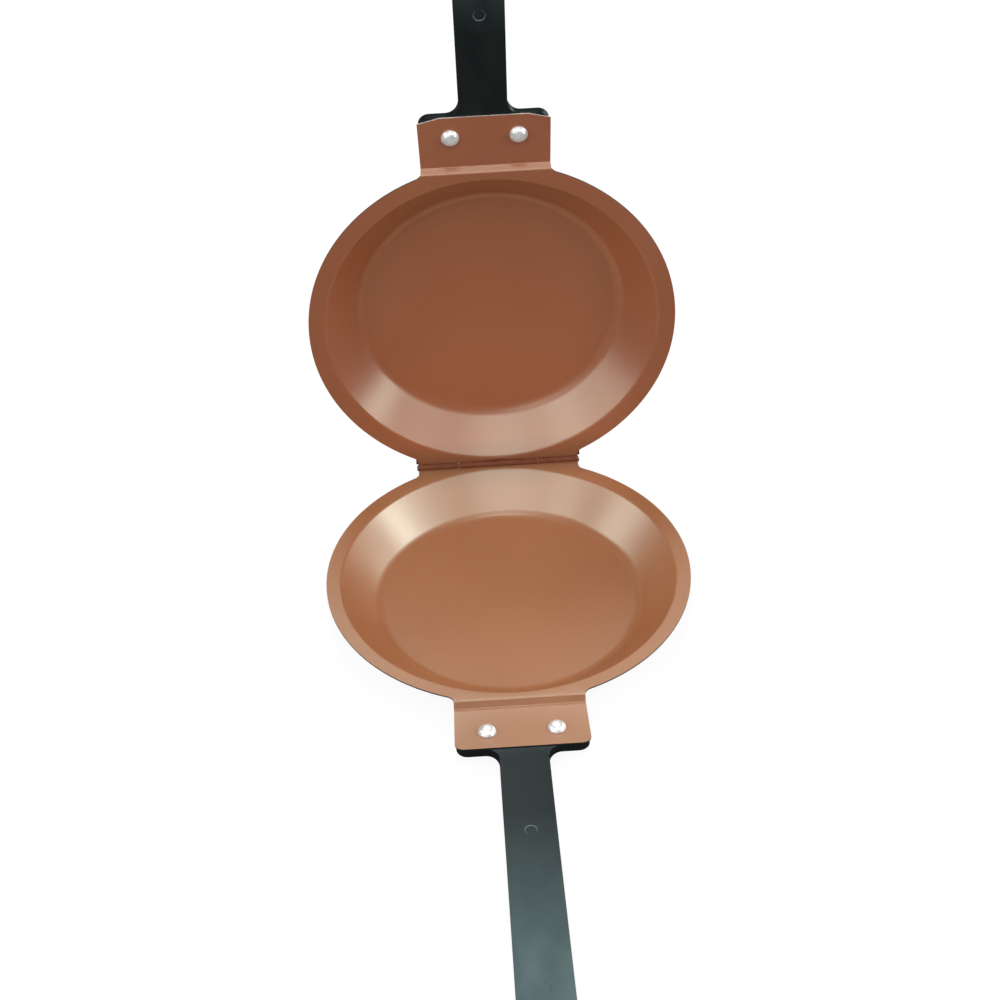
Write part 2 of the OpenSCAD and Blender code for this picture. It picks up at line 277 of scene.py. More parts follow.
def modify(piece, kind, **settings):
    choose(piece)
    modifier = piece.modifiers.new(kind.lower(), kind)
    for key, value in settings.items():
        setattr(modifier, key, value)
    bpy.ops.object.modifier_apply(modifier=modifier.name)


def cut(piece, tool):
    """Takes the tool's shape out of the piece, and throws the tool away."""
    modify(piece, "BOOLEAN", object=tool, operation="DIFFERENCE", solver="EXACT")
    bpy.data.objects.remove(tool, do_unlink=True)


def join(*pieces):
    choose(*pieces)
    bpy.ops.object.join()


def smooth(piece, angle=35):
    choose(piece)
    bpy.ops.object.shade_smooth_by_angle(angle=math.radians(angle))


def place(piece, matrix):
    """Moves a piece, with its place put into its mesh."""
    choose(piece)
    piece.matrix_world = matrix
    bpy.ops.object.transform_apply(location=True, rotation=True, scale=True)


def copy(piece, name, matrix):
    """A copy with its own mesh, put in its place."""
    twin = piece.copy()
    twin.data = piece.data.copy()
    twin.name = name
    twin.data.name = name
    bpy.context.scene.collection.objects.link(twin)
    place(twin, matrix)
    return twin


# ---- finishes ----


def srgb(r, g, b):
    """A colour given as in a picture, 0 to 255, in linear light."""
    parts = [c / 255 for c in (r, g, b)]
    return tuple(c / 12.92 if c <= 0.04045 else ((c + 0.055) / 1.055) ** 2.4 for c in parts)


def finish_of(name, **sockets):
    """A new material with its shader's plain settings, and a way to add nodes and wire them in."""
    material = bpy.data.materials.new(name)
    material.use_nodes = True
    tree = material.node_tree
    shader = tree.nodes["Principled BSDF"]
    for key, value in sockets.items():
        shader.inputs[key.replace("_", " ")].default_value = value

    def add(kind, **inputs):
        """Lower-case keys are the node's settings, others its sockets, such as Scale or _0."""
        node = tree.nodes.new("ShaderNode" + kind)
        for key, value in inputs.items():
            if key.islower():
                setattr(node, key, value)
                continue
            socket = node.inputs[int(key[1:]) if key[1:].isdigit() else key.replace("_", " ")]
            if isinstance(value, bpy.types.NodeSocket):
                tree.links.new(value, socket)
            else:
                socket.default_value = value
        return node.outputs

    def wire(value, socket):
        tree.links.new(value, shader.inputs[socket])

    return material, add, wire


def shades(add, fac, stops):
    """A colour ramp: stops are (place, colour)."""
    out = add("ValToRGB", Fac=fac)["Color"]
    ramp = out.node.color_ramp
    for element, (at, colour) in zip(ramp.elements, (stops[0], stops[-1])):
        element.position, element.color = at, (*colour, 1)
    for at, colour in stops[1:-1]:
        ramp.elements.new(at).color = (*colour, 1)
    return out


def between(add, value, low, high, to_low, to_high):
    """Takes a value from one range to another."""
    ends = {"From_Min": low, "From_Max": high, "To_Min": to_low, "To_Max": to_high}
    return add("MapRange", Value=value, **ends)["Result"]


# A noise stays mostly between these two
LOW, HIGH = 0.3, 0.7


def two_tone(add, noise, dark, light):
    return shades(add, noise, [(LOW, dark), (HIGH, light)])


def vary(add, noise, least, most):
    return between(add, noise, LOW, HIGH, least, most)


def bumps(add, *layers):
    """Bump from several heights: each is (height, strength, distance in millimetres)."""
    normal = None
    for height, strength, depth in layers:
        extra = {"Normal": normal} if normal else {}
        normal = add("Bump", Strength=strength, Distance=depth * MM, Height=height, **extra)["Normal"]
    return normal


def from_hinge(add, at):
    """How far a place is from the hinge's axis, in metres."""
    moved = add("VectorMath", operation="SUBTRACT", _0=at, _1=(0, HINGE_Y * MM, AXIS_Z * MM))["Vector"]
    across = add("VectorMath", operation="MULTIPLY", _0=moved, _1=(0, 1, 1))["Vector"]
    return add("VectorMath", operation="LENGTH", _0=across)["Value"]


# The yellowish sheen that lies on the coating, and the cool one on the handles
WARM = (0.92, 1, 0.84, 1)
COOL = (0.66, 0.95, 1, 1)
# Painted shade darkens the coating near the hinge, where the two halves shade each other: as far as this from
# its axis, down to this share of its colour
HINGE_SHADE_START = 1 * MM
HINGE_SHADE_END = 16 * MM
HINGE_SHADED = 0.6
# A painted sheen makes the handles lighter and bluer more and more between these two distances from the
# hinge's axis
SHEEN_START = 270 * MM
SHEEN_END = 380 * MM


def coating(name, light, middle, dark):
    """Copper-coloured non-stick coating: satin, with fine flakes and a faint orange peel, and painted shade
    near the hinge.
    """
    material, add, wire = finish_of(name, IOR=2.2, Specular_Tint=WARM)
    at = add("TexCoord")["Object"]
    cloud = add("TexNoise", Vector=at, Scale=9, Detail=2, Roughness=0.4)["Fac"]
    flakes = add("TexNoise", Vector=at, Scale=1600, Detail=2, Roughness=0.6)["Fac"]
    tone = add("Math", operation="MULTIPLY_ADD", _0=flakes, _1=0.5, _2=cloud)["Value"]
    colour = shades(add, tone, [(0.5, dark), (0.75, middle), (1.0, light)])
    # Painted shade: the colour darkens towards the hinge's axis
    unshaded = between(add, from_hinge(add, at), HINGE_SHADE_START, HINGE_SHADE_END, HINGE_SHADED, 1)
    wire(add("VectorMath", operation="SCALE", _0=colour, _3=unshaded)["Vector"], "Base Color")
    wire(vary(add, cloud, 0.31, 0.37), "Roughness")
    peel = add("TexNoise", Vector=at, Scale=380, Detail=2, Roughness=0.5)["Fac"]
    waves = add("TexNoise", Vector=at, Scale=16, Detail=1)["Fac"]
    wire(bumps(add, (waves, 0.25, 0.8), (peel, 0.15, 0.05)), "Normal")
    return material


def shaded_hinge_coat():
    """The same coat, dull, on the hinge's knuckles, darkened brown with painted shade for the crevice between
    the flanges.
    """
    material, add, wire = finish_of("shaded_hinge_copper", IOR=1.25)
    at = add("TexCoord")["Object"]
    cloud = add("TexNoise", Vector=at, Scale=200, Detail=3)["Fac"]
    # Painted shade: a dark brown for the knuckles that lie in the crevice
    wire(two_tone(add, cloud, srgb(98, 54, 35), srgb(116, 66, 43)), "Base Color")
    wire(vary(add, cloud, 0.55, 0.7), "Roughness")
    wire(bumps(add, (cloud, 0.2, 0.05)), "Normal")
    return material


def outside_enamel():
    """Black enamel on the outside of the pans and over the cut rims."""
    material, add, wire = finish_of("black_enamel")
    at = add("TexCoord")["Object"]
    cloud = add("TexNoise", Vector=at, Scale=30, Detail=4)["Fac"]
    wire(two_tone(add, cloud, srgb(24, 23, 23), srgb(34, 33, 33)), "Base Color")
    wire(vary(add, cloud, 0.3, 0.42), "Roughness")
    peel = add("TexNoise", Vector=at, Scale=600, Detail=2)["Fac"]
    wire(bumps(add, (peel, 0.2, 0.05)), "Normal")
    return material


def metal(name, light, dark, rough, grain, bare=1):
    """Metal with a fine grain, scaled along x, y and z; bare is less than 1 where it is dull or dirty."""
    material, add, wire = finish_of(name, Metallic=bare)
    at = add("TexCoord")["Object"]
    lines = add("TexNoise", Vector=add("Mapping", Vector=at, Scale=grain)["Vector"], Scale=1, Detail=3)["Fac"]
    wire(two_tone(add, lines, dark, light), "Base Color")
    wire(vary(add, lines, rough, rough + 0.12), "Roughness")
    wire(bumps(add, (lines, 0.15, 0.03)), "Normal")
    return material


def plastic(name, light, dark, rough):
    """Semi-matt moulded plastic with cloudy, slightly chalky patches, and a painted sheen that makes it
    lighter and bluer towards its end.
    """
    material, add, wire = finish_of(name, Specular_Tint=COOL)
    at = add("TexCoord")["Object"]
    stretched = add("Mapping", Vector=at, Scale=(60, 25, 25))["Vector"]
    cloud = add("TexNoise", Vector=stretched, Scale=1, Detail=5, Roughness=0.55)["Fac"]
    # Painted sheen: the colour turns lighter and bluer away from the hinge
    sheen_share = between(add, from_hinge(add, at), SHEEN_START, SHEEN_END, 0, 1)
    plain_tone = two_tone(add, cloud, dark, light)
    paler = two_tone(add, cloud, srgb(60, 74, 75), srgb(82, 98, 98))
    step = add("VectorMath", operation="SUBTRACT", _0=paler, _1=plain_tone)["Vector"]
    wire(add("VectorMath", operation="MULTIPLY_ADD", _0=step, _1=sheen_share, _2=plain_tone)["Vector"], "Base Color")
    wire(vary(add, cloud, rough, rough + 0.1), "Roughness")
    grain = add("TexNoise", Vector=at, Scale=900, Detail=3)["Fac"]
    wire(bumps(add, (cloud, 0.1, 0.5), (grain, 0.15, 0.06)), "Normal")
    return material


# Painted light: the upper pan's coat is a little redder than the lower one's, for the reddish light that the
# lower pan throws onto it, and the lower one's is yellower, for the light from above
lower_copper = coating("lower_copper_coating", srgb(164, 103, 65), srgb(157, 97, 60), srgb(149, 90, 54))
upper_copper = coating("upper_copper_coating", srgb(164, 92, 57), srgb(157, 86, 52), srgb(149, 79, 46))
shaded_hinge_copper = shaded_hinge_coat()
enamel = outside_enamel()
cut_steel = metal("cut_edge_steel", srgb(236, 230, 222), srgb(212, 202, 190), 0.5, (900, 60, 60), 0.5)
aluminium = metal("rivet_aluminium", srgb(250, 250, 248), srgb(228, 229, 228), 0.3, (500, 500, 500), 0.5)
wire_steel = metal("pin_steel", srgb(168, 165, 160), srgb(132, 129, 125), 0.35, (60, 1500, 1500))
black_plastic = plastic("handle_plastic", srgb(24, 24, 23), srgb(14, 14, 14), 0.36)
# Painted highlight: the pale plastic goes on the sloped edges of the pin marks
pale_plastic = plastic("highlit_mark_plastic", srgb(120, 124, 122), srgb(84, 88, 86), 0.5)

# ---- the pans' sheets ----


def bowl_section():
    """The inside of the bowl, from its middle to just past the rolled lip."""
    run, rise = LIP_START_R - FLOOR_R, BOWL_DEPTH - FLOOR_BEND_R - LIP_R
    steep = math.atan2(rise, run) + math.asin((FLOOR_BEND_R + LIP_R) / math.hypot(run, rise))
    wall = math.degrees(steep)
    bend = arc((FLOOR_R, SHEET_T + FLOOR_BEND_R), FLOOR_BEND_R, -90, wall - 90, FLOOR_BEND_STEPS)
    lip = arc((LIP_START_R, FLANGE_Z - LIP_R), LIP_R, 90 + wall, 90, LIP_STEPS)
    return [(0, SHEET_T), (FLOOR_R / 2, SHEET_T)] + bend + lip + [(LIP_START_R + FLANGE_JOIN, FLANGE_Z)]


def corner_centre(pan_r, x, r):
    """Centre of the circle between the pan's edge and a side at x."""
    return x + r, math.sqrt((pan_r + r) ** 2 - (x + r) ** 2)


# The tab's slope: its angle, where its first bend starts and where the knuckles start to curl
SLOPE_ANGLE = math.degrees(math.atan2(TAB_DROP, TAB_SLOPE))
SET_BACK = (BEND_R + SHEET_T / 2) * math.tan(math.radians(SLOPE_ANGLE / 2))
BEND_Y = SLOPE_Y - SET_BACK + SHEET_T / 2
CURL_START = 180 + math.degrees(math.asin(FACE_GAP / 2 / CURL_R))
CURL_Y = HINGE_Y + CURL_R * math.cos(math.radians(CURL_START))


def tab_half_width(pan_r, y, corner_l):
    """Half of the tab's width at a distance y from the bowl's middle, before its corners."""
    cx, cy = corner_centre(pan_r, TAB_W / 2, TAB_FILLET_R)
    share = min(1, max(0, (y - SLOPE_Y) / (TAB_END_Y - corner_l - SLOPE_Y)))
    half = (TAB_W + (TAB_END_W - TAB_W) * share) / 2
    if y < cy:
        half = max(half, cx - math.sqrt(TAB_FILLET_R**2 - (y - cy) ** 2))
    return half


def flange_edge(pan_r, knuckle_edge):
    """Half of the flange's outline, from the tab's first bend round to the middle of the hinge."""
    cx, cy = corner_centre(pan_r, TAB_W / 2, TAB_FILLET_R)
    first = math.degrees(math.atan2(BEND_Y - cy, tab_half_width(pan_r, BEND_Y, 0) - cx)) % 360
    tab_turn = math.degrees(math.atan2(cy, cx))
    tab_corner = arc((cx, cy), TAB_FILLET_R, first, 180 + tab_turn, PAN_CORNER_STEPS)
    hx, hy = corner_centre(pan_r, HINGE_W / 2, HINGE_FILLET_R)
    hinge_turn = math.degrees(math.atan2(hy, hx))
    round_edge = arc((0, 0), pan_r, -tab_turn, hinge_turn, FLANGE_STEPS)
    hinge_corner = arc((hx, hy), HINGE_FILLET_R, 180 + hinge_turn, 180, PAN_CORNER_STEPS)
    return [(x, -y) for x, y in tab_corner] + round_edge[1:] + hinge_corner[1:] + knuckle_edge


def round_end(y):
    """How much narrower the lower tab is at y, on each side, where its corners are round."""
    past = max(0, y - TAB_END_Y + LOWER_CORNER_R)
    return LOWER_CORNER_R - math.sqrt(max(0, LOWER_CORNER_R**2 - past**2))


def cut_end(y):
    """How much narrower the upper tab is at y, on each side, where its corners are cut off."""
    return UPPER_CUT_W * max(0, y - TAB_END_Y + UPPER_CUT_L) / UPPER_CUT_L


def press_sheet(name, pan_r, corner_l, corner, corner_rows, knuckle_edge, curls):
    """A sheet's inside in the lower pan's place: bowl, flange, bent tab and curled knuckles."""
    sheet = spin(bowl_section(), name, BOWL_STEPS)
    half = flange_edge(pan_r, knuckle_edge)
    outline = half + [(-x, y) for x, y in reversed(half)]
    new_point()
    draw([(x, y, FLANGE_Z) for x, y in outline + outline[:1]])
    weld()
    past_lip = LIP_START_R + FLANGE_JOIN / 2
    pick(sheet, lambda x, y, z: z > FLANGE_Z - 0.001 and math.hypot(x, y) > past_lip, "EDGE")
    bpy.ops.mesh.fill(use_beauty=True)

    # The tab, row by row over its two bends and round its corners
    top = (BEND_Y, FLANGE_Z - BEND_R - SHEET_T)
    low = (SLOPE_Y + TAB_SLOPE + SET_BACK - SHEET_T / 2, TAB_Z + BEND_R)
    rows = arc(top, BEND_R + SHEET_T, 90, 90 - SLOPE_ANGLE, BEND_STEPS)
    rows += arc(low, BEND_R, 270 - SLOPE_ANGLE, 270, BEND_STEPS)
    for i in range(corner_rows + 1):
        rows.append((TAB_END_Y - corner_l * (1 - math.sin(math.radians(90 * i / corner_rows))), TAB_Z))
    widths = [tab_half_width(pan_r, y, corner_l) - corner(y) for y, z in rows]
    pick(sheet, lambda x, y, z: abs(y + BEND_Y) < 0.01 and z > FLANGE_Z - 0.001, "EDGE")
    for i in range(1, len(rows)):
        (y0, z0), (y1, z1) = rows[i - 1 : i + 1]
        extrude(0, y0 - y1, z1 - z0)
        middle = (0, -y1 * MM, z1 * MM)
        bpy.ops.transform.resize(value=(widths[i] / widths[i - 1], 1, 1), center_override=middle)

    # The knuckles, curled round the pin
    curl = arc((HINGE_Y, AXIS_Z), CURL_R, CURL_START, CURL_END, CURL_STEPS)
    start, end = curls
    pick(sheet, lambda x, y, z: abs(y - CURL_Y) < 0.01 and start - 0.01 < abs(x) < end + 0.01, "EDGE")
    for (y0, z0), (y1, z1) in zip(curl, curl[1:]):
        extrude(0, y1 - y0, z1 - z0)
    outwards()
    done()
    return sheet


def floor_up(piece, height):
    """Makes sure that a flat or hollow sheet faces up before it gets its thickness."""
    middle = min(piece.data.polygons, key=lambda face: (face.center - Vector((0, 0, height * MM))).length)
    if middle.normal.z < 0:
        edit(piece)
        bpy.ops.mesh.select_all(action="SELECT")
        bpy.ops.mesh.flip_normals()
        done()


def rivet_bore(side):
    """The tool that drills a rivet's hole."""
    bpy.ops.object.select_all(action="DESELECT")
    bpy.ops.mesh.primitive_cylinder_add(vertices=48, radius=RIVET_HOLE_R * MM, depth=RIVET_BORE_L * MM,
        location=(side * RIVET_X * MM, -RIVET_Y * MM, SEAT_Z * MM))
    return bpy.context.object


# Which of a sheet's finishes a face has
INSIDE, OUTSIDE, RIM, KNUCKLE = range(4)


def thicken(piece, copper, bare_end):
    """Gives the sheet its thickness, its finishes, and a bright cut edge where the tab's end is bare."""
    for finish in (copper, enamel, cut_steel, shaded_hinge_copper):
        piece.data.materials.append(finish)
    floor_up(piece, SHEET_T)
    modify(piece, "SOLIDIFY", thickness=SHEET_T * MM, offset=-1, use_even_offset=True,
        material_offset=OUTSIDE, material_offset_rim=RIM)
    for side in (-1, 1):
        cut(piece, rivet_bore(side))
    for face in piece.data.polygons:
        x, y, z = face.center / MM
        # The knuckles get the coat darkened with painted shade
        if math.hypot(y - HINGE_Y, z - AXIS_Z) < BARREL_R + 0.1:
            face.material_index = KNUCKLE
        elif face.material_index == RIM and not (bare_end and y < -TAB_END_Y + UPPER_CUT_L + 1):
            face.material_index = OUTSIDE


def stop_lip(side):
    """The lip behind the upper flange, on which the open pan leans."""
    start = KNUCKLE_W / 2 + KNUCKLE_GAP + STOP_INSET
    end = HINGE_W / 2
    full_x = math.sqrt(LIP_START_R**2 - (HINGE_Y - STOP_H - STOP_CLEAR) ** 2)
    low_h = HINGE_Y - STOP_CLEAR - math.sqrt(LIP_START_R**2 - start**2)
    wing_z = PIN_HEAD_R + KNUCKLE_GAP
    back = FACE_GAP / 2 + SHEET_T + STOP_GAP
    outline = [(start, 0), (end, 0), (end, wing_z), (end + STOP_OVERHANG, wing_z),
        (end + STOP_OVERHANG, STOP_H), (full_x, STOP_H), (start, low_h)]
    lip = new_point("stop_lip")
    draw([(side * x, back, z) for x, z in outline + outline[:1]])
    weld()
    bpy.ops.mesh.edge_face_add()
    extrude(0, SHEET_T, 0)
    outwards()
    pick(lip, lambda x, y, z: z > 0.1, "EDGE")
    bpy.ops.mesh.bevel(offset=STOP_EDGE * MM, segments=3, affect="EDGES")
    done()
    lip.data.materials.append(lower_copper)
    lip.data.materials.append(enamel)
    for face in lip.data.polygons:
        face.material_index = OUTSIDE
    place(lip, Matrix.Translation((0, HINGE_Y * MM, AXIS_Z * MM))
        @ Matrix.Rotation(math.radians(90 - OPEN_ANGLE), 4, "X"))
    return lip


inner = KNUCKLE_W / 2 + KNUCKLE_GAP
notch_y = HINGE_Y - BARREL_R - KNUCKLE_GAP
lower_edge = [(HINGE_W / 2, CURL_Y), (inner, CURL_Y), (inner, notch_y)]
upper_edge = [(HINGE_W / 2, notch_y), (KNUCKLE_W / 2, notch_y), (KNUCKLE_W / 2, CURL_Y)]
lower_pan = press_sheet("lower_pan_sheet", LOWER_PAN_R, LOWER_CORNER_R, round_end, PAN_CORNER_STEPS,
    lower_edge, (inner, HINGE_W / 2))
upper_pan = press_sheet("upper_pan_sheet", UPPER_PAN_R, UPPER_CUT_L, cut_end, 1,
    upper_edge, (0, KNUCKLE_W / 2))
thicken(lower_pan, lower_copper, False)
thicken(upper_pan, upper_copper, True)
join(lower_pan, stop_lip(1), stop_lip(-1))
smooth(lower_pan)
smooth(upper_pan)
place(upper_pan, UPPER)

# ---- the hinge pin, rivets and washers ----

half_pin = HINGE_W / 2
broken_r = PIN_HEAD_R - PIN_HEAD_EDGE
pin_end = [(0, half_pin + PIN_HEAD_T), (PIN_R, half_pin + PIN_HEAD_T),
    (broken_r, half_pin + 2 * PIN_HEAD_EDGE), (PIN_HEAD_R, half_pin + PIN_HEAD_EDGE), (broken_r, half_pin),
    (PIN_R, half_pin)]
pin = spin(pin_end + [(r, -h) for r, h in reversed(pin_end)], "hinge_pin_wire", 40, (HINGE_Y, AXIS_Z), "X")
done()
pin.data.materials.append(wire_steel)
smooth(pin)


def rivet(name, dents):
    """A domed rivet, dented where it was set, with its spread tail under the washer."""
    dome_r = (RIVET_HEAD_R**2 + RIVET_DOME_H**2) / (2 * RIVET_DOME_H)
    steep = math.degrees(math.asin(RIVET_HEAD_R / dome_r))
    edge_z = TAB_Z + RIVET_EDGE_H
    dome = arc((0, edge_z + RIVET_DOME_H - dome_r), dome_r, 90, 90 - steep, 16)
    tail_z = SEAT_Z - BASE_T - WASHER_T
    tail_end = tail_z - RIVET_TAIL_H
    tail = [(SHANK_R, tail_z)] + [(RIVET_TAIL_R - inwards, tail_z - below) for inwards, below in TAIL_SHAPE]
    tail += [(RIVET_TAIL_R - DIMPLE_R, tail_end), (DIMPLE_R, tail_end),
        (DIMPLE_R * 2 / 3, tail_end + DIMPLE_DEPTH * 2 / 3), (0, tail_end + DIMPLE_DEPTH)]
    edge = [(RIVET_HEAD_R, edge_z - RIVET_EDGE_ROUND / 2), (RIVET_HEAD_R, TAB_Z + RIVET_EDGE_ROUND),
        (RIVET_HEAD_R - RIVET_EDGE_ROUND, TAB_Z)]
    piece = spin(dome + edge + [(SHANK_R, TAB_Z)] + tail, name, 64)
    for x, y, reach, depth in dents:
        pick(piece, lambda a, b, c: math.hypot(a - x, b - y) < DENT_GRIP and c > edge_z)
        bpy.ops.transform.translate(value=(0, 0, -depth * MM), use_proportional_edit=True,
            proportional_edit_falloff="SMOOTH", proportional_size=reach * MM)
    done()
    piece.data.materials.append(aluminium)
    smooth(piece, 50)
    return piece


def washer():
    """A plain washer with broken edges."""
    low = SEAT_Z - BASE_T - WASHER_T
    high = SEAT_Z - BASE_T
    broken = WASHER_R - WASHER_EDGE
    ring = [(RIVET_HOLE_R, low), (broken, low), (WASHER_R, low + WASHER_EDGE), (WASHER_R, high - WASHER_EDGE),
        (broken, high), (RIVET_HOLE_R, high)]
    piece = spin(ring + ring[:1], "washer", 56)
    done()
    piece.data.materials.append(wire_steel)
    smooth(piece)
    return piece


# Each dent is its place from the rivet's middle, how far it reaches and how deep it is
left_rivet = rivet("left_rivet", [(0.3, -0.6, 3.2, 0.5), (-2.1, 1.3, 1.8, 0.1)])
right_rivet = rivet("right_rivet", [(-0.3, -0.5, 3.2, 0.5), (1.9, 1.1, 1.8, 0.12)])
plain_washer = washer()
small = []
for half, matrix in (("lower", Matrix.Identity(4)), ("upper", UPPER)):
    for word, side, dented in (("left", -1, left_rivet), ("right", 1, right_rivet)):
        there = matrix @ Matrix.Translation((side * RIVET_X * MM, -RIVET_Y * MM, 0))
        for kind, model, state in (("rivet", dented, "set"), ("washer", plain_washer, "plain")):
            node = f"{half}_{kind}_{word}"
            small.append((copy(model, f"{node}_{state}", there), half, node))
for model in (left_rivet, right_rivet, plain_washer):
    bpy.data.objects.remove(model, do_unlink=True)

# ---- the handles ----


def end_share(y):
    """1 along the whole stem, then down to 0 like a quarter circle at its end."""
    past = max(0, y - (HANDLE_END_Y - END_ROUND_L)) / END_ROUND_L
    return math.sqrt(max(0, 1 - past * past))


def stem_half_width(y):
    """Half of the stem's width at y, which widens slowly and then closes at the round end."""
    share = (y - TAB_END_Y) / (HANDLE_END_Y - TAB_END_Y)
    full = STEM_START_W + (STEM_END_W - STEM_START_W) * max(0, share) ** STEM_WIDENING
    return full / 2 * (TIP_W + (1 - TIP_W) * end_share(y))


def stem_thickness(y):
    """The stem's thickness at y: it grows past the tab and thins at the round end."""
    grown = math.sin(math.radians(90 * min(1, max(0, (y - TAB_END_Y) / STEM_GROWTH_L))))
    return (BASE_T + (STEM_T - BASE_T) * grown) * (TIP_T + (1 - TIP_T) * end_share(y))


def half_outline():
    """Half of the handle's outline, as its crosspiece and its stem."""
    corner_x = BASE_W / 2 - BASE_CORNER_R
    neck = STEM_START_W / 2
    crosspiece = [(neck, BASE_START_Y)]
    crosspiece += arc((corner_x, BASE_START_Y + BASE_CORNER_R), BASE_CORNER_R, -90, 0, CORNER_STEPS)
    crosspiece += arc((corner_x, TAB_END_Y - BASE_CORNER_R), BASE_CORNER_R, 0, 90, CORNER_STEPS)
    stem_start = TAB_END_Y + BASE_FILLET_R
    fillet = arc((neck + BASE_FILLET_R, stem_start), BASE_FILLET_R, 270, 180, FILLET_STEPS)
    stem_l = HANDLE_END_Y - END_ROUND_L - stem_start
    places = [stem_start + stem_l * i / STEM_STEPS for i in range(1, STEM_STEPS)]
    for i in range(END_STEPS + 1):
        places.append(HANDLE_END_Y - END_ROUND_L * (1 - math.sin(math.radians(90 * i / END_STEPS))))
    return crosspiece, fillet + [(stem_half_width(y), y) for y in places]


def handle(name):
    """The moulded handle: crosspiece and stem from one outline, rounded on the outside."""
    crosspiece, stem = half_outline()
    edge = crosspiece + stem
    outline = edge + [(-x, y) for x, y in reversed(edge)]
    piece = new_point(name)
    draw([(x, -y, SEAT_Z) for x, y in outline + outline[:1]])
    weld()
    bpy.ops.mesh.edge_face_add()
    for x, y in stem[:-1]:
        pick(piece, lambda a, b, c: abs(abs(a) - x) < 0.02 and abs(b + y) < 0.02)
        bpy.ops.mesh.vert_connect_path()
    done()
    floor_up(piece, SEAT_Z)
    modify(piece, "SOLIDIFY", thickness=BASE_T * MM, offset=-1)
    edit(piece)
    for x, y in stem:
        pick(piece, lambda a, b, c: abs(b + y) < 0.02 and c < SEAT_Z - 1)
        bpy.ops.transform.translate(value=(0, 0, (BASE_T - stem_thickness(y)) * MM))
    done()
    round_edges(piece)
    piece.data.materials.append(black_plastic)
    piece.data.materials.append(pale_plastic)
    for side in (-1, 1):
        cut(piece, rivet_bore(side))
    cut(piece, hanging_hole())
    for y in MARK_YS:
        cut(piece, pin_mark(y))
    smooth(piece, 30)
    return piece


def round_edges(piece):
    """Rounds the outside edges more and more along the stem, and only breaks the inside ones."""
    layer = piece.data.attributes.new("bevel_weight_edge", "FLOAT", "EDGE")
    for line in piece.data.edges:
        a, b = (piece.data.vertices[i].co / MM for i in line.vertices)
        y = -(a.y + b.y) / 2
        across = abs(a.x + b.x) < 0.01 and abs(a.x) > 1 and abs(a.y - b.y) < 0.01
        if across and BASE_START_Y + 1 < y < HANDLE_END_Y - 0.01:
            continue
        if min(a.z, b.z) > SEAT_Z - 0.01:
            layer.data[line.index].value = INSIDE_ROUND
        elif max(a.z, b.z) < SEAT_Z - 1:
            grown = min(1, max(0, (y - TAB_END_Y + ROUND_START) / ROUND_GROWTH_L))
            deep = stem_thickness(y) / STEM_T if y > TAB_END_Y else 1
            layer.data[line.index].value = BASE_ROUND + STEM_ROUND * grown * deep
    modify(piece, "BEVEL", width=STEM_ROUND_R * MM, segments=6, limit_method="WEIGHT", use_clamp_overlap=True)


def hanging_hole():
    """The tool that cuts the hanging hole, wider towards both faces of the stem."""
    top = SEAT_Z + CUT_PAST
    back = SEAT_Z - STEM_T
    wide = HOLE_R + HOLE_EDGE + CUT_PAST
    bottom = back + HOLE_BACK_EDGE - (wide - HOLE_R)
    section = [(0, top), (wide, top), (HOLE_R, SEAT_Z - HOLE_EDGE),
        (HOLE_R, back + HOLE_BACK_EDGE), (wide, bottom), (0, bottom)]
    eye = spin(section, "eye", 48, (0, -HOLE_Y))
    done()
    return eye


def pin_mark(y):
    """The tool that presses the round mark of a mould's pin, with a sloped edge painted pale as a highlight,
    into the stem.
    """
    low, high = SEAT_Z - MARK_DEPTH, SEAT_Z + CUT_PAST
    section = [(0, low), (MARK_R - MARK_SLOPE_W, low), (MARK_R, SEAT_Z), (MARK_R, high), (0, high)]
    mark = spin(section, "mark", 48, (0, -y))
    done()
    mark.data.materials.append(black_plastic)
    mark.data.materials.append(pale_plastic)
    # The sloped edge gets the pale plastic, a painted highlight
    for face in mark.data.polygons:
        face.material_index = int(0.1 < abs(face.normal.z) < 0.99)
    return mark


lower_handle = handle("lower_handle_moulding")
upper_handle = copy(lower_handle, "upper_handle_moulding", UPPER)

# ---- what each piece rides on and stands for ----

for piece, half, node, slot in (
    (lower_pan, "lower", "lower_pan", "pan_coating"),
    (upper_pan, "upper", "upper_pan", "pan_coating"),
    (pin, "lower", "hinge_pin", "pin_steel"),
    (lower_handle, "lower", "lower_handle", "handle_plastic"),
    (upper_handle, "upper", "upper_handle", "handle_plastic"),
):
    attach(piece, half + "_half")
    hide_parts(node)
for piece, half, node in small:
    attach(piece, half + "_half")
    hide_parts(node)

# ---- stage, light and camera ----

FLOOR_SIZE = 12


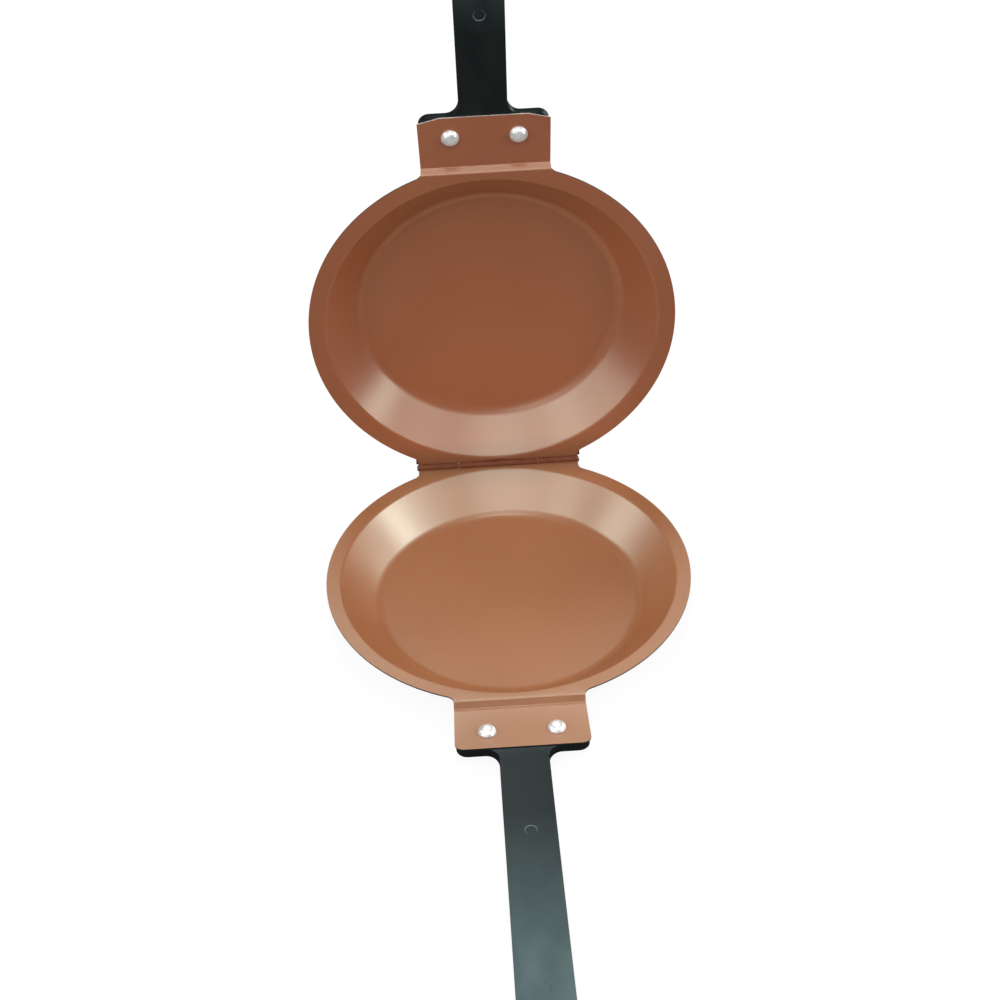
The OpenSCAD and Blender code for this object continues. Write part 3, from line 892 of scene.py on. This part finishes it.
def pale(name, own, lit, bounce):
    """A stage colour: the eye, gloss and glass see it pale, the eye with a glow of its own as well."""
    material = bpy.data.materials.new(name)
    material.use_nodes = True
    tree = material.node_tree
    tree.nodes.clear()

    def add(kind, *inputs, operation=None):
        """A node with its first sockets set or wired; gives back its first output."""
        node = tree.nodes.new("ShaderNode" + kind)
        if operation:
            node.operation = operation
        for socket, value in zip(node.inputs, inputs):
            if isinstance(value, bpy.types.NodeSocket):
                tree.links.new(value, socket)
            else:
                socket.default_value = value
        return node.outputs[0]

    ray = tree.nodes.new("ShaderNodeLightPath").outputs
    mirrored = add("Math", ray["Is Glossy Ray"], ray["Is Transmission Ray"], operation="MAXIMUM")
    seen = add("Math", ray["Is Camera Ray"], mirrored, operation="MAXIMUM")
    strength = add("Math", ray["Is Camera Ray"], own, operation="MULTIPLY")
    glow = add("Emission", (1, 1, 1, 1), strength)
    looks = add("AddShader", add("BsdfDiffuse", (lit, lit, lit, 1)), glow)
    surface = add("MixShader", seen, add("BsdfDiffuse", (bounce, bounce, bounce, 1)), looks)
    out = tree.nodes.new("ShaderNodeOutputMaterial")
    tree.links.new(surface, out.inputs["Surface"])
    return material


bpy.ops.object.select_all(action="DESELECT")
bpy.ops.mesh.primitive_plane_add(size=FLOOR_SIZE)
floor = bpy.context.object
floor.name = "stage_floor"
floor.data.materials.append(pale("stage_white", own=0.92, lit=0.1, bounce=0.36))

world = bpy.data.worlds.new("studio")
bpy.context.scene.world = world
world.use_nodes = True
sky = world.node_tree.nodes["Background"]
sky.inputs["Color"].default_value = (1, 1, 1, 1)
sky.inputs["Strength"].default_value = 0.02


def sun(name, elevation, azimuth, glow, width=18):
    """A far round light. Angles are degrees, with azimuth 0 in front and 90 on the right; the glow is what a
    mirror shows of it, where 1 is white."""
    light = bpy.data.lights.new(name, "SUN")
    light.angle = math.radians(width)
    light.energy = glow * math.pi * math.sin(math.radians(width / 2)) ** 2
    lamp = bpy.data.objects.new(name, light)
    bpy.context.scene.collection.objects.link(lamp)
    up, turn = math.radians(elevation), math.radians(azimuth)
    towards = Vector((math.cos(up) * math.sin(turn), -math.cos(up) * math.cos(turn), math.sin(up)))
    lamp.rotation_euler = towards.to_track_quat("Z", "Y").to_euler()


sun("front_lamp", 54, 0, 2.6, 26)
sun("front_right_lamp", 54, 30, 1.5, 26)
sun("front_left_lamp", 54, 330, 1.8, 26)
sun("front_low_lamp", 18, 345, 1.9, 26)
sun("top_lamp", 88, 0, 4)
sun("back_lamp", 60, 184, 3.7, 28)
sun("right_front_lamp", 40, 60, 2.6, 26)
sun("right_lamp", 40, 84, 2.2, 26)
sun("right_bright_lamp", 36, 87, 30, 8)
sun("right_front_bright_lamp", 12, 63, 16, 9)
sun("right_back_lamp", 22, 112, 5, 22)
sun("right_back_low_lamp", 9, 136, 7)
sun("right_low_lamp", 24, 80, 1.2, 22)
sun("left_front_lamp", 40, 308, 4.8, 22)
sun("left_lamp", 36, 266, 5, 22)
sun("left_back_lamp", 24, 248, 2.4)
sun("left_low_lamp", 16, 300, 2.5, 26)

# The photograph's camera, found from the two rims, the rivets, the tabs and the hinge
camera = bpy.data.objects.new("photo_camera", bpy.data.cameras.new("photo_camera"))
bpy.context.scene.collection.objects.link(camera)
camera.data.sensor_width = 36
camera.data.lens = 144
camera.data.clip_end = 50
RIGHT = (0.997842, -0.058854, -0.02912)
DOWN = (-0.060424, -0.649397, -0.758045)
AHEAD = (0.025703, 0.758168, -0.651552)
EYE = (-0.057663, -1.612388, 1.45933)
camera.matrix_world = Matrix([(RIGHT[i], -DOWN[i], -AHEAD[i], EYE[i]) for i in range(3)] + [(0, 0, 0, 1)])
bpy.context.scene.camera = camera
bpy.context.scene.view_settings.view_transform = "Standard"
